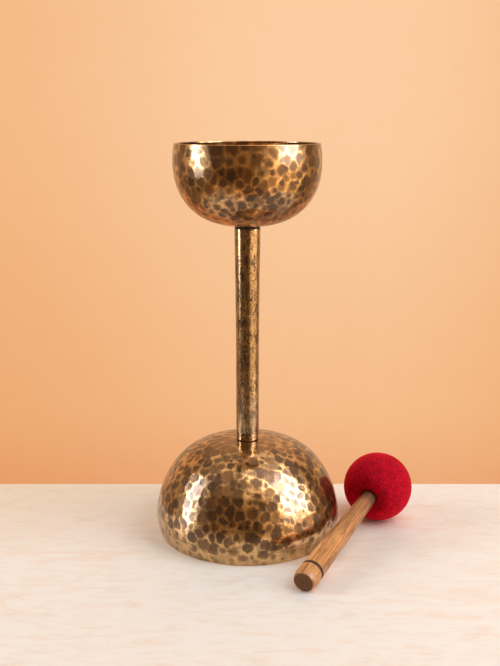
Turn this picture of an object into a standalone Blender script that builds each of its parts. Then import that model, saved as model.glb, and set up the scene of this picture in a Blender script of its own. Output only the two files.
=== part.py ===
# Singing bowl on a tall stem, with an upturned bowl for its foot and a felt mallet beside it.
# One threaded rod runs through the stem and clamps both bowls to it.
# The set's origin is on the table, at the centre of the rectangle that the set covers.
import math

import bmesh
import bpy

MM = 0.001   # the sizes below are in millimetres

# General
GAP = 0.3
BOWL_STEPS = 48
STEM_STEPS = 32
SMALL_STEPS = 24
SHARP_ANGLE = math.radians(35)
CUT_MARGIN = 1.0     # how far a cutter or a joined solid runs past the face it works on
WASHER_EDGE = 0.15   # a washer's rounded edge, as a share of its height

# Both bowls: distances are measured from the rim, up the wall to the pole in its middle
FOOT_BOWL = {
    "radius": 90.2, "belt": 22.0, "height": 93.3, "pole_power": 1.505, "side_power": 3.307,
    "rim_radius": 86.5, "wall": 3.0, "lip": 0.8, "hole": 4.4,
}
SOUND_BOWL = {
    "radius": 69.15, "belt": 16.6, "height": 76.5, "pole_power": 2.17, "side_power": 2.564,
    "rim_radius": 67.4, "wall": 2.4, "lip": 0.6, "hole": 4.4,
}
CAP_RINGS = 9
POLE_CROWDING = 1.5
BELT_RINGS = 2
RIM_THICKNESS = 1.04   # the rim's level thickness, as a share of the wall
LIP_CORNER = 0.3       # where the rounded lip turns, as a share of the lip

# Stem: a collar with a spigot, a tube that widens gently to its top, and a bush inside it
COLLAR_HEIGHT = 6.0
COLLAR_RADIUS = 11.0
COLLAR_TOP_EDGE = 0.4
COLLAR_FOOT_EDGE = 0.8
SPIGOT_LENGTH = 16.0
SPIGOT_EDGE = 0.6
TUBE_LENGTH = 200.4
TUBE_RADIUS = 11.15
TUBE_WALL = 1.5
TUBE_EDGE = 0.3
FLARE_RINGS = 7
FLARE = 1.25
FLARE_START = 70.0
FLARE_POWER = 1.8
BUSH_RADIUS = 10.2
BUSH_LENGTH = 15.0

# Clamp: an M8 rod with its washers and nuts
ROD_RADIUS = 4.0
ROD_CLEARANCE = 4.4
ROD_EDGE = 0.8
ROD_TAIL = 5.3
ROD_END_ROOM = 1.0     # left between the rod's end and the cap nut's blind bore
ACROSS_FLATS = 13.0
NUT_HEIGHT = 6.5
NUT_FACE = 0.96        # the flat round face left by the turned-down corners, as a share of the flats
NUT_CHAMFER = math.radians(30)
NUT_OVERHANG = 0.5     # how far the turning that cuts the corners reaches past them
CAP_HEIGHT = 15.0
CAP_RADIUS = 6.2
CAP_BORE_DEPTH = 11.5
CAP_DOME_RINGS = 5
NUT_BORE = 4.3
SEAT_LEATHER = {"radius": 12.0, "height": 1.2}
INNER_LEATHER = {"radius": 9.5, "height": 1.5}
CUP_WASHER = {"radius": 9.0, "crown": 7.8, "height": 2.2, "edge": 0.5}
FOOT_GASKET = {"radius": 15.0, "height": 2.0}
WIDE_WASHER = {"radius": 14.0, "height": 2.0}
SPLIT_WASHER = {"radius": 7.2, "height": 2.2, "slit": 1.6, "slant": math.radians(25)}
DOME_DROP = 0.1   # how much lower the foot bowl's underside is at the gasket's edge

# Mallet: a felt ball round a wooden core on a tapered handle
BALL_RADIUS = 34.2
CORE_RADIUS = 15.0
CORE_ROOM_RADIUS = 15.5
HANDLE_REACH = 181.8
HANDLE_END_RADIUS = 7.5
HANDLE_BUTT_RADIUS = 10.8
HANDLE_BURIED = 4.0    # how deep the full taper starts inside the felt
HANDLE_RINGS = 5
TENON_RADIUS = 5.0
TENON_LENGTH = 22.0
TENON_EDGE = 0.8
TENON_ROOM = 1.0       # left beyond the tenon's end in the core's blind hole
KNOB_LENGTH = 17.5
KNOB_RADIUS = 10.85
KNOB_FACE_RADIUS = 8.6
KNOB_ROUNDING = 10.0
KNOB_RINGS = 6
KNOB_STEP = 0.2        # how much slimmer the knob is at the groove
GROOVE_WIDTH = 3.6
GROOVE_FLOOR = 1.0
GROOVE_DEPTH = 1.1
CORE_RINGS = 10
FELT_RINGS = 18
MALLET_HEADING = math.radians(27.9)
SETTLING_STEPS = 20

# Where the ball's centre lies, seen from the bowls' axis
BALL_PLACE = (132.6, 22.1)

# Names in the outliner
PARTS = "tibetan_singing_bowl"
CUTTERS = "cutters"


def clear_scene():
    for item in list(bpy.data.objects):
        bpy.data.objects.remove(item, do_unlink=True)


def new_collection(name):
    group = bpy.data.collections.new(name)
    bpy.context.scene.collection.children.link(group)
    return group


def new_material(name, colour, metallic, roughness):
    look = bpy.data.materials.new(name)
    look.use_nodes = True
    shader = look.node_tree.nodes["Principled BSDF"]
    shader.inputs["Base Color"].default_value = (*colour, 1.0)
    shader.inputs["Metallic"].default_value = metallic
    shader.inputs["Roughness"].default_value = roughness
    look.diffuse_color = (*colour, 1.0)
    return look


def new_empty(name, place, rotation=(0.0, 0.0, 0.0)):
    item = bpy.data.objects.new(name, None)
    item.empty_display_size = 20 * MM
    item.location = [value * MM for value in place]
    item.rotation_euler = rotation
    bpy.data.collections[PARTS].objects.link(item)
    return item


def new_object(name, mesh, group=PARTS):
    item = bpy.data.objects.new(name, mesh)
    bpy.data.collections[group].objects.link(item)
    if group == CUTTERS:
        item.hide_render = True
        item.display_type = "WIRE"
    return item


def shade(mesh):
    mesh.shade_smooth()
    mesh.set_sharp_from_angle(angle=SHARP_ANGLE)


def keep_result(item):
    # Turns the object's modifiers into its plain mesh.
    bpy.context.view_layer.update()
    graph = bpy.context.evaluated_depsgraph_get()
    mesh = bpy.data.meshes.new_from_object(item.evaluated_get(graph))
    mesh.name = item.name
    item.modifiers.clear()
    item.data = mesh
    shade(mesh)


def turned(name, outline, steps=SMALL_STEPS, group=PARTS):
    # A turned piece. The outline is (radius, height) down the outer side, top to bottom; where it
    # doesn't start and end on the axis, it is closed into a ring.
    ring = outline[0][0] > 0 or outline[-1][0] > 0
    mesh = bpy.data.meshes.new(name)
    edges = [(i, i + 1) for i in range(len(outline) - 1)]
    if ring:
        edges.append((len(outline) - 1, 0))
    mesh.from_pydata([(r * MM, 0, z * MM) for r, z in outline], edges, [])
    item = new_object(name, mesh, group)
    screw = item.modifiers.new("Turn", "SCREW")
    screw.axis = "Z"
    screw.angle = math.tau
    screw.steps = steps
    screw.render_steps = steps
    screw.use_merge_vertices = True
    screw.merge_threshold = 0.00001
    keep_result(item)
    return item


def combine(item, tool, operation):
    change = item.modifiers.new(operation.title(), "BOOLEAN")
    change.operation = operation
    change.solver = "EXACT"
    change.object = tool
    keep_result(item)


def place(item, parent, height, look):
    item.parent = parent
    item.location = (0, 0, height * MM)
    item.data.materials.clear()
    item.data.materials.append(look)


def washer(name, radius, height):
    edge = WASHER_EDGE * height
    outline = [
        (radius - edge, height), (radius, height - edge), (radius, edge), (radius - edge, 0),
        (ROD_CLEARANCE, 0), (ROD_CLEARANCE, height),
    ]
    return turned(name, outline)


def bowl_outer(bowl):
    # The outer wall from the pole to the rim's lip: a rounded cap down to the belt, then a slight
    # draw-in that grows with the square of the distance.
    points = []
    start = math.asin((bowl["hole"] / bowl["radius"]) ** (bowl["side_power"] / 2))
    for i in range(CAP_RINGS + 1):
        angle = start + (math.pi / 2 - start) * (i / CAP_RINGS) ** POLE_CROWDING
        radius = bowl["radius"] * math.sin(angle) ** (2 / bowl["side_power"])
        rise = max(math.cos(angle), 0.0) ** (2 / bowl["pole_power"])
        points.append((radius, bowl["belt"] + (bowl["height"] - bowl["belt"]) * rise))
    draw_in = bowl["radius"] - bowl["rim_radius"]
    for i in range(1, BELT_RINGS + 1):
        height = bowl["belt"] + (bowl["lip"] - bowl["belt"]) * i / BELT_RINGS
        share = 1 - height / bowl["belt"]
        points.append((bowl["radius"] - draw_in * share ** 2, height))
    return points


def offset_inward(points, distance):
    # Each point moved square to the outline, towards the inside of the bowl.
    moved = []
    for i, (radius, height) in enumerate(points):
        before = points[max(i - 1, 0)]
        after = points[min(i + 1, len(points) - 1)]
        along = (after[0] - before[0], after[1] - before[1])
        size = math.hypot(*along)
        moved.append((radius + distance * along[1] / size, height - distance * along[0] / size))
    return moved


def bowl_outline(bowl):
    # One closed loop through the wall: pole, outer wall, flat rim with rounded edges, inner wall.
    outer = bowl_outer(bowl)
    inner = offset_inward(outer, bowl["wall"])[:-1]
    inner[0] = (bowl["hole"], inner[0][1])
    rim = bowl["rim_radius"]
    lip = bowl["lip"]
    turn = LIP_CORNER * lip
    inside = rim - bowl["wall"] * RIM_THICKNESS
    edge = [
        (rim - turn, turn), (rim - lip, 0), (inside + lip, 0), (inside + turn, turn), (inside, lip),
    ]
    return outer + edge + inner[::-1]


def make_foot_bowl(stand, look):
    item = turned("foot_bowl", bowl_outline(FOOT_BOWL), BOWL_STEPS)
    place(item, stand, 0, look)


def make_sound_bowl(stand, height, look):
    bowl = SOUND_BOWL
    outline = [(radius, bowl["height"] - rise) for radius, rise in bowl_outline(bowl)][::-1]
    item = turned("sound_bowl", outline, BOWL_STEPS)
    place(item, stand, height, look)


def make_collar(stand, height, look):
    spigot = TUBE_RADIUS - TUBE_WALL - GAP
    top = COLLAR_HEIGHT + SPIGOT_LENGTH
    turn = LIP_CORNER * COLLAR_FOOT_EDGE
    outline = [
        (spigot - SPIGOT_EDGE, top), (spigot, top - SPIGOT_EDGE), (spigot, COLLAR_HEIGHT),
        (COLLAR_RADIUS - COLLAR_TOP_EDGE, COLLAR_HEIGHT),
        (COLLAR_RADIUS, COLLAR_HEIGHT - COLLAR_TOP_EDGE),
        (COLLAR_RADIUS, COLLAR_FOOT_EDGE), (COLLAR_RADIUS - turn, turn),
        (COLLAR_RADIUS - COLLAR_FOOT_EDGE, 0), (ROD_CLEARANCE, 0), (ROD_CLEARANCE, top),
    ]
    place(turned("stem_collar", outline, STEM_STEPS), stand, height, look)


def tube_outer(height):
    beyond = max(height - FLARE_START, 0) / (TUBE_LENGTH - FLARE_START)
    return TUBE_RADIUS + FLARE * beyond ** FLARE_POWER


def make_tube(stand, height, look):
    flared = TUBE_LENGTH - TUBE_EDGE - FLARE_START
    stations = [TUBE_EDGE, FLARE_START / 2]
    stations += [FLARE_START + flared * i / FLARE_RINGS for i in range(FLARE_RINGS + 1)]
    outer = [(tube_outer(z), z) for z in reversed(stations)]
    inner = [(tube_outer(z) - TUBE_WALL, z) for z in stations[1:-1]]
    ends = [(TUBE_RADIUS - TUBE_EDGE, 0), (TUBE_RADIUS - TUBE_WALL, 0)]
    top = tube_outer(TUBE_LENGTH)
    outline = outer + ends + inner
    outline += [(top - TUBE_WALL, TUBE_LENGTH), (top - TUBE_EDGE, TUBE_LENGTH)]
    place(turned("stem_tube", outline, STEM_STEPS), stand, height, look)


def make_bush(stand, height, look):
    place(washer("stem_bush", BUSH_RADIUS, BUSH_LENGTH), stand, height, look)


def make_rod(stand, height, length, look):
    end = ROD_RADIUS - ROD_EDGE
    outline = [
        (0, length), (end, length), (ROD_RADIUS, length - ROD_EDGE), (ROD_RADIUS, ROD_EDGE),
        (end, 0), (0, 0),
    ]
    place(turned("tie_rod", outline), stand, height, look)


def hex_block(name):
    # A hexagon whose corners are turned down at both ends.
    mesh = bpy.data.meshes.new(name)
    shape = bmesh.new()
    corner = ACROSS_FLATS / 2 / math.cos(math.pi / 6)
    size = {"radius1": corner * MM, "radius2": corner * MM, "depth": NUT_HEIGHT * MM}
    bmesh.ops.create_cone(shape, cap_ends=True, segments=6, **size)
    bmesh.ops.translate(shape, verts=shape.verts, vec=(0, 0, NUT_HEIGHT / 2 * MM))
    shape.to_mesh(mesh)
    shape.free()
    item = new_object(name, mesh)
    flat = NUT_FACE * ACROSS_FLATS / 2
    wide = corner + NUT_OVERHANG
    cut = (wide - flat) * math.tan(NUT_CHAMFER)
    outline = [
        (0, NUT_HEIGHT), (flat, NUT_HEIGHT), (wide, NUT_HEIGHT - cut), (wide, cut), (flat, 0), (0, 0),
    ]
    combine(item, turned(name + "_turning", outline, group=CUTTERS), "INTERSECT")
    return item


def bore_out(item, radius, low, high):
    outline = [(0, high), (radius, high), (radius, low), (0, low)]
    combine(item, turned(item.name + "_bore", outline, group=CUTTERS), "DIFFERENCE")


def make_cap_nut(stand, height, look):
    item = hex_block("cap_nut")
    dome = CAP_HEIGHT - NUT_HEIGHT
    outline = [(0, CAP_HEIGHT)]
    for i in range(1, CAP_DOME_RINGS + 1):
        angle = math.pi / 2 * i / CAP_DOME_RINGS
        outline.append((CAP_RADIUS * math.sin(angle), NUT_HEIGHT + dome * math.cos(angle)))
    outline += [(CAP_RADIUS, NUT_HEIGHT - CUT_MARGIN), (0, NUT_HEIGHT - CUT_MARGIN)]
    combine(item, turned("cap_nut_dome", outline, group=CUTTERS), "UNION")
    bore_out(item, NUT_BORE, -CUT_MARGIN, CAP_BORE_DEPTH)
    place(item, stand, height, look)


def make_hex_nut(stand, height, look):
    item = hex_block("hex_nut")
    bore_out(item, NUT_BORE, -CUT_MARGIN, NUT_HEIGHT + CUT_MARGIN)
    place(item, stand, height, look)


def make_cup_washer(stand, height, look):
    size = CUP_WASHER
    outline = [
        (size["crown"], size["height"]), (size["radius"], size["edge"]), (size["radius"], 0),
        (ROD_CLEARANCE, 0), (ROD_CLEARANCE, size["height"]),
    ]
    place(turned("cup_washer", outline), stand, height, look)


def make_split_washer(stand, height, look):
    size = SPLIT_WASHER
    item = washer("split_washer", size["radius"], size["height"])
    mesh = bpy.data.meshes.new("split_washer_slit")
    shape = bmesh.new()
    bmesh.ops.create_cube(shape, size=MM)
    long = size["radius"]
    bmesh.ops.scale(shape, verts=shape.verts, vec=(long, size["slit"], 3 * size["height"]))
    middle = ROD_CLEARANCE - CUT_MARGIN + long / 2
    bmesh.ops.translate(shape, verts=shape.verts, vec=(middle * MM, 0, 0))
    shape.to_mesh(mesh)
    shape.free()
    slit = new_object("split_washer_slit", mesh, CUTTERS)
    slit.rotation_euler = (size["slant"], 0, 0)
    combine(item, slit, "DIFFERENCE")
    place(item, stand, height, look)


def handle_radius(distance):
    # The handle tapers from the knob's groove up to the ball.
    start = BALL_RADIUS - HANDLE_BURIED
    end = HANDLE_REACH - KNOB_LENGTH
    share = min(max((distance - start) / (end - start), 0), 1)
    return HANDLE_END_RADIUS + (HANDLE_BUTT_RADIUS - HANDLE_END_RADIUS) * share


def make_handle(mallet, look):
    # The outline runs from the tenon's end in the core to the butt, down the mallet's own Z.
    shoulder = CORE_RADIUS + GAP
    tenon_end = shoulder - TENON_LENGTH
    groove = HANDLE_REACH - KNOB_LENGTH
    outline = [
        (0, -tenon_end), (TENON_RADIUS - TENON_EDGE, -tenon_end),
        (TENON_RADIUS, -tenon_end - TENON_EDGE),
        (TENON_RADIUS, -shoulder), (HANDLE_END_RADIUS, -shoulder),
    ]
    start = BALL_RADIUS - HANDLE_BURIED
    body = groove - GROOVE_WIDTH / 2
    for i in range(HANDLE_RINGS + 1):
        distance = start + (body - start) * i / HANDLE_RINGS
        outline.append((handle_radius(distance), -distance))
    bottom = HANDLE_BUTT_RADIUS - GROOVE_DEPTH
    outline += [(bottom, -groove + GROOVE_FLOOR / 2), (bottom, -groove - GROOVE_FLOOR / 2)]
    outline.append((KNOB_RADIUS - KNOB_STEP, -groove - GROOVE_WIDTH / 2))
    for i in range(KNOB_RINGS + 1):
        angle = math.pi / 2 * i / KNOB_RINGS
        radius = KNOB_FACE_RADIUS + (KNOB_RADIUS - KNOB_FACE_RADIUS) * math.cos(angle)
        distance = HANDLE_REACH + KNOB_ROUNDING * (math.sin(angle) - 1)
        outline.append((radius, -distance))
    outline.append((0, -HANDLE_REACH))
    place(turned("mallet_handle", outline, STEM_STEPS), mallet, 0, look)


def make_core(mallet, look):
    # A turned ball with a blind hole that takes the handle's tenon.
    hole = TENON_RADIUS + GAP
    depth = TENON_LENGTH - CORE_RADIUS + TENON_ROOM
    outline = []
    end = math.acos(hole / CORE_RADIUS)
    for i in range(CORE_RINGS + 1):
        angle = math.pi / 2 - (math.pi / 2 + end) * i / CORE_RINGS
        outline.append((CORE_RADIUS * math.cos(angle) if i else 0, CORE_RADIUS * math.sin(angle)))
    outline += [(hole, depth), (0, depth)]
    place(turned("mallet_core", outline), mallet, 0, look)


def make_felt(mallet, look):
    # A thick felt shell: the outer ball, the hole that the handle enters by, and the core's room.
    hole = HANDLE_END_RADIUS + GAP
    room = CORE_ROOM_RADIUS
    outline = [(0, BALL_RADIUS)]
    end = math.acos(hole / BALL_RADIUS)
    for i in range(1, FELT_RINGS + 1):
        angle = math.pi / 2 - (math.pi / 2 + end) * i / FELT_RINGS
        outline.append((BALL_RADIUS * math.cos(angle), BALL_RADIUS * math.sin(angle)))
    start = -math.acos(hole / room)
    rings = FELT_RINGS // 2
    for i in range(rings):
        angle = start + (math.pi / 2 - start) * i / rings
        outline.append((room * math.cos(angle), room * math.sin(angle)))
    outline.append((0, room))
    place(turned("mallet_felt", outline, STEM_STEPS), mallet, 0, look)


def mallet_tilt():
    # The knob rests on the table with the ball. Its rounded shoulder is an ellipse, whose lowest
    # point depends on the handle's slope, so the slope is settled in a few steps.
    tilt = 0.0
    for _ in range(SETTLING_STEPS):
        bulge = (KNOB_RADIUS - KNOB_FACE_RADIUS) * math.cos(tilt)
        lowest = KNOB_FACE_RADIUS * math.cos(tilt) + math.hypot(KNOB_ROUNDING * math.sin(tilt), bulge)
        tilt = math.asin((BALL_RADIUS - lowest) / (HANDLE_REACH - KNOB_ROUNDING))
    return tilt


def bowl_axis_place(tilt):
    # The set's rectangle runs from the foot bowl's far side to the ball and to the handle's butt.
    forward = math.cos(MALLET_HEADING) * math.cos(tilt)
    butt = BALL_PLACE[1] - forward * HANDLE_REACH - math.sqrt(1 - forward ** 2) * KNOB_FACE_RADIUS
    right = BALL_PLACE[0] + BALL_RADIUS
    return (FOOT_BOWL["radius"] - right) / 2, -(FOOT_BOWL["radius"] + butt) / 2


def main():
    clear_scene()
    new_collection(PARTS)
    new_collection(CUTTERS)

    bronze = new_material("hammered_bronze", (0.30, 0.18, 0.08), 1.0, 0.32)
    stem_bronze = new_material("dark_bronze_tube", (0.20, 0.12, 0.06), 1.0, 0.35)
    brass = new_material("turned_brass", (0.55, 0.38, 0.16), 1.0, 0.28)
    steel = new_material("zinc_plated_steel", (0.55, 0.55, 0.54), 1.0, 0.35)
    leather = new_material("dark_leather", (0.05, 0.025, 0.012), 0.0, 0.75)
    wood = new_material("oiled_wood", (0.42, 0.21, 0.08), 0.0, 0.5)
    core_wood = new_material("pale_wood", (0.55, 0.38, 0.20), 0.0, 0.7)
    felt = new_material("red_felt", (0.50, 0.008, 0.02), 0.0, 0.95)

    tilt = mallet_tilt()
    axis_x, axis_y = bowl_axis_place(tilt)
    stand = new_empty("bowl_axis", (axis_x, axis_y, 0))
    ball = (axis_x + BALL_PLACE[0], axis_y + BALL_PLACE[1], BALL_RADIUS)
    mallet = new_empty("mallet_lift_axis", ball, (tilt - math.pi / 2, 0, -MALLET_HEADING))

    # From the foot bowl up
    make_foot_bowl(stand, bronze)
    collar = FOOT_BOWL["height"] + GAP
    make_collar(stand, collar, brass)
    tube = collar + COLLAR_HEIGHT + GAP
    make_tube(stand, tube, stem_bronze)
    tube_top = tube + TUBE_LENGTH
    make_bush(stand, tube_top - BUSH_LENGTH, brass)
    seat = tube_top + GAP
    place(washer("seat_leather", **SEAT_LEATHER), stand, seat, leather)
    pole = seat + SEAT_LEATHER["height"] + GAP
    make_sound_bowl(stand, pole, bronze)
    inner_leather = pole + SOUND_BOWL["wall"] + GAP
    place(washer("inner_leather", **INNER_LEATHER), stand, inner_leather, leather)
    cup = inner_leather + INNER_LEATHER["height"] + GAP
    make_cup_washer(stand, cup, brass)
    cap = cup + CUP_WASHER["height"] + GAP
    make_cap_nut(stand, cap, brass)

    # From the foot bowl down
    gasket = FOOT_BOWL["height"] - FOOT_BOWL["wall"] - DOME_DROP - GAP - FOOT_GASKET["height"]
    place(washer("foot_gasket", **FOOT_GASKET), stand, gasket, leather)
    wide = gasket - GAP - WIDE_WASHER["height"]
    place(washer("wide_washer", **WIDE_WASHER), stand, wide, steel)
    split = wide - GAP - SPLIT_WASHER["height"]
    make_split_washer(stand, split, steel)
    nut = split - GAP - NUT_HEIGHT
    make_hex_nut(stand, nut, steel)
    rod_end = nut - ROD_TAIL
    rod_top = cap + CAP_BORE_DEPTH - ROD_END_ROOM
    make_rod(stand, rod_end, rod_top - rod_end, steel)

    make_felt(mallet, felt)
    make_core(mallet, core_wood)
    make_handle(mallet, wood)


main()
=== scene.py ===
import math

import bpy
import numpy as np
from mathutils import Euler, Matrix, Quaternion, Vector, noise


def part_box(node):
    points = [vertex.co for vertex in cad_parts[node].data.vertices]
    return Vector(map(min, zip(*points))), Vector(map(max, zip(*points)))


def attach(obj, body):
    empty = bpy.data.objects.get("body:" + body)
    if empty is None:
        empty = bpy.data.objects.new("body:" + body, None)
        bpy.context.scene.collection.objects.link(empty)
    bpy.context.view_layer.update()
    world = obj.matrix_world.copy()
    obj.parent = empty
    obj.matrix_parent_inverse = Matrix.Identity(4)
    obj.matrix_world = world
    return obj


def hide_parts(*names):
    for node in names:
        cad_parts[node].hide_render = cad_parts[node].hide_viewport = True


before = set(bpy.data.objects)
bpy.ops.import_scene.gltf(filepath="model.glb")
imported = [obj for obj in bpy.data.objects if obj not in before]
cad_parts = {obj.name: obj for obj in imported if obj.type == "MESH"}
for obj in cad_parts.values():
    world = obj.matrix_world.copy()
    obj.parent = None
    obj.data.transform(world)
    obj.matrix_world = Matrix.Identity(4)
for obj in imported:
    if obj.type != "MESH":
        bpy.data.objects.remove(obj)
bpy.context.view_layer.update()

# The looks of a hammered singing bowl on a stem, its foot bowl and its felt mallet.
# Sizes of the pieces are in millimetres, heights from the table. The studio and the coordinates that
# materials use are in metres.
mm = 0.001
rodLow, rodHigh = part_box("tie_rod")
bowlAxis = (rodLow + rodHigh) / 2 / mm      # the line that both bowls and the stem are turned about


# Small helpers for meshes

def srgb(red, green, blue):
    # A colour as seen in a picture, 0 to 255, to the linear values that nodes take
    seen = [value / 255 for value in (red, green, blue)]
    return (*[v / 12.92 if v <= 0.04045 else ((v + 0.055) / 1.055) ** 2.4 for v in seen], 1.0)


def newPiece(name, mesh):
    piece = bpy.data.objects.new(name, mesh)
    bpy.context.scene.collection.objects.link(piece)
    return piece


def newMesh(name, points, faces):
    mesh = bpy.data.meshes.new(name)
    mesh.from_pydata(points, [], faces)
    mesh.update()
    return mesh


def turned(name, rows, steps, closed=False):
    # A turned form. Each row is one ring, listed down the outer side from the top. Its radius and its height
    # are one number each, or one for every step. A ring of radius 0 is a single point on the axis.
    count, angles = len(rows), np.arange(steps) * (math.tau / steps)
    points, starts = [], []
    for row in rows:
        radius, height = (np.broadcast_to(value, steps) for value in row)
        starts.append(len(points))
        if radius.max() < 1e-6:
            points.append((0.0, 0.0, height[0] * mm))
        else:
            x, y = radius * np.cos(angles) * mm, radius * np.sin(angles) * mm
            points.extend(zip(x.tolist(), y.tolist(), (height * mm).tolist()))
    starts.append(len(points))
    faces = []
    for a in range(count if closed else count - 1):
        b = (a + 1) % count
        oneA, oneB = starts[a + 1] - starts[a] == 1, starts[b + 1] - starts[b] == 1
        for j in range(steps):
            k = (j + 1) % steps
            if oneA:
                faces.append((starts[a], starts[b] + j, starts[b] + k))
            elif oneB:
                faces.append((starts[a] + j, starts[b], starts[a] + k))
            else:
                faces.append((starts[a] + j, starts[b] + j, starts[b] + k, starts[a] + k))
    return newMesh(name, points, faces)


def meshPoints(mesh):
    flat = np.zeros(len(mesh.vertices) * 3)
    mesh.vertices.foreach_get("co", flat)
    return flat.reshape(-1, 3)


def setPoints(mesh, points):
    mesh.vertices.foreach_set("co", np.ascontiguousarray(points, float).ravel())
    mesh.update()


def keepValues(mesh, name, values):
    values = np.asarray(values, np.float32)
    kind, key = ("FLOAT_VECTOR", "vector") if values.ndim == 2 else ("FLOAT", "value")
    store = mesh.attributes.new(name, kind, "POINT")
    store.data.foreach_set(key, values.ravel())


def shade(mesh, angle=35):
    mesh.shade_smooth()
    mesh.set_sharp_from_angle(angle=math.radians(angle))
    return mesh


def lengthsAlong(points):
    return np.concatenate([[0], np.cumsum(np.hypot(*np.diff(points, axis=0).T))])


def resample(points, spacing):
    # Even steps along an outline
    points = np.array(points, float)
    along = lengthsAlong(points)
    steps = np.linspace(0, along[-1], max(2, int(round(along[-1] / spacing)) + 1))
    return np.column_stack([np.interp(steps, along, points[:, 0]), np.interp(steps, along, points[:, 1])])


def corner(centre, radius, start, end, count):
    # Points of a rounded edge, by angles in degrees
    turns = np.radians(np.linspace(start, end, count + 1))
    return [(centre[0] + radius * math.cos(t), centre[1] + radius * math.sin(t)) for t in turns]


def ringOutline(inner, outer, height, edge, count=3):
    # A washer or gasket with rounded edges, down its outer side and back up its bore
    outline = corner((outer - edge, height - edge), edge, 90, 0, count)
    outline += corner((outer - edge, edge), edge, 0, -90, count)
    small = edge * 0.6
    outline += corner((inner + small, small), small, -90, -180, 2)
    outline += corner((inner + small, height - small), small, 180, 90, 2)
    return outline


def wearUnevenly(mesh, depth, pace, flatten=1.0, within=0.0):
    # Draws a turned side in by up to the depth, more here and less there. What is near the axis stays.
    points = meshPoints(mesh)
    sway = np.array([noise.noise(Vector((x, y, z * flatten)) * pace) for x, y, z in points])
    out = np.hypot(points[:, 0], points[:, 1])
    inward = depth * mm * (0.5 + 0.5 * sway) * (out > within * mm) / np.maximum(out, mm)
    points[:, :2] *= (1 - inward)[:, None]
    setPoints(mesh, points)


def onBowlAxis(mesh, height):
    mesh.transform(Matrix.Translation(Vector((bowlAxis.x, bowlAxis.y, height)) * mm))
    return mesh


def finishPiece(piece, body, slot, *nodes):
    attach(piece, body)
    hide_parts(*nodes)


def placeTurned(name, mesh, height, slot, node):
    # A piece of the stand, its underside at the height
    mesh.materials.append(finishes[slot])
    finishPiece(newPiece(name, onBowlAxis(mesh, height)), "bowl_stand", slot, node)


def paintNode(name, look):
    # A piece of the CAD part that is shown as it is
    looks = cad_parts[name].data.materials
    looks.clear()
    looks.append(look)


# Small helpers for node trees

def feed(tree, socket, value):
    # A link where the value comes from another node, or else the value itself
    if isinstance(value, bpy.types.NodeSocket):
        tree.links.new(value, socket)
    else:
        socket.default_value = value


def addNode(tree, kind, values=None, **settings):
    item = tree.nodes.new(kind)
    for key, value in settings.items():
        setattr(item, key, value)
    for key, value in (values or {}).items():
        feed(tree, item.inputs[key], value)
    return item


def calc(tree, operation, *values, clamp=False):
    item = addNode(tree, "ShaderNodeMath", dict(enumerate(values)), operation=operation)
    item.use_clamp = clamp
    return item.outputs[0]


def times(tree, first, second):
    return calc(tree, "MULTIPLY", first, second)


def less(tree, first, second):
    return calc(tree, "SUBTRACT", first, second)


def scaled(tree, value, factor, base, clamp=False):
    # The value times the factor, plus the base
    return calc(tree, "MULTIPLY_ADD", value, factor, base, clamp=clamp)


def ramp(tree, value, low, high, toLow=0.0, toHigh=1.0, kind="SMOOTHSTEP"):
    return addNode(tree, "ShaderNodeMapRange", {
        "Value": value, "From Min": low, "From Max": high, "To Min": toLow, "To Max": toHigh,
    }, interpolation_type=kind).outputs["Result"]


def blendColour(tree, share, first, second, mode="MIX"):
    values = {0: share, 6: first, 7: second}
    return addNode(tree, "ShaderNodeMix", values, data_type="RGBA", blend_type=mode).outputs[2]


def tinted(tree, colour, paint, value, low, high, share=1.0):
    # Paint laid over the colour, up to its share, as the value goes from low to high
    return blendColour(tree, ramp(tree, value, low, high, 0.0, share), colour, paint)


def cloud(tree, place, scale, detail, rough, distort=0.0):
    values = {"Vector": place, "Scale": scale, "Detail": detail, "Roughness": rough, "Distortion": distort}
    return addNode(tree, "ShaderNodeTexNoise", values).outputs["Fac"]


def cells(tree, place, scale):
    return addNode(tree, "ShaderNodeTexVoronoi", {"Vector": place, "Scale": scale}).outputs


def stretched(tree, place, scale, shift=(0, 0, 0), turn=(0, 0, 0)):
    values = {"Vector": place, "Scale": scale, "Location": shift, "Rotation": turn}
    return addNode(tree, "ShaderNodeMapping", values).outputs[0]


def stored(tree, name, output="Fac"):
    return addNode(tree, "ShaderNodeAttribute", attribute_name=name).outputs[output]


def objectPlace(tree):
    return addNode(tree, "ShaderNodeTexCoord").outputs["Object"]


def relief(tree, height, strength, distance, under=None):
    values = {"Height": height, "Strength": strength, "Distance": distance}
    if under is not None:
        values["Normal"] = under
    return addNode(tree, "ShaderNodeBump", values).outputs[0]


def newFinish(name):
    look = bpy.data.materials.new(name)
    look.use_nodes = True
    tree = look.node_tree
    return look, tree, tree.nodes["Principled BSDF"]


def dress(shader, tree, **inputs):
    # Shader inputs by name, with spaces for underscores
    for key, value in inputs.items():
        feed(tree, shader.inputs[key.replace("_", " ")], value)


def newTree(name, numbers):
    # A geometry tree with a named input for each number, and one for the material
    tree = bpy.data.node_groups.new(name, "GeometryNodeTree")
    sockets = tree.interface
    sockets.new_socket("Geometry", in_out="INPUT", socket_type="NodeSocketGeometry")
    for label, value in numbers.items():
        kind = "NodeSocketInt" if isinstance(value, int) else "NodeSocketFloat"
        sockets.new_socket(label, in_out="INPUT", socket_type=kind).default_value = value
    sockets.new_socket("Finish", in_out="INPUT", socket_type="NodeSocketMaterial")
    sockets.new_socket("Geometry", in_out="OUTPUT", socket_type="NodeSocketGeometry")
    return tree, tree.nodes.new("NodeGroupInput").outputs


def pointValue(tree, name):
    return addNode(tree, "GeometryNodeInputNamedAttribute", {"Name": name}, data_type="FLOAT").outputs[0]


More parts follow.
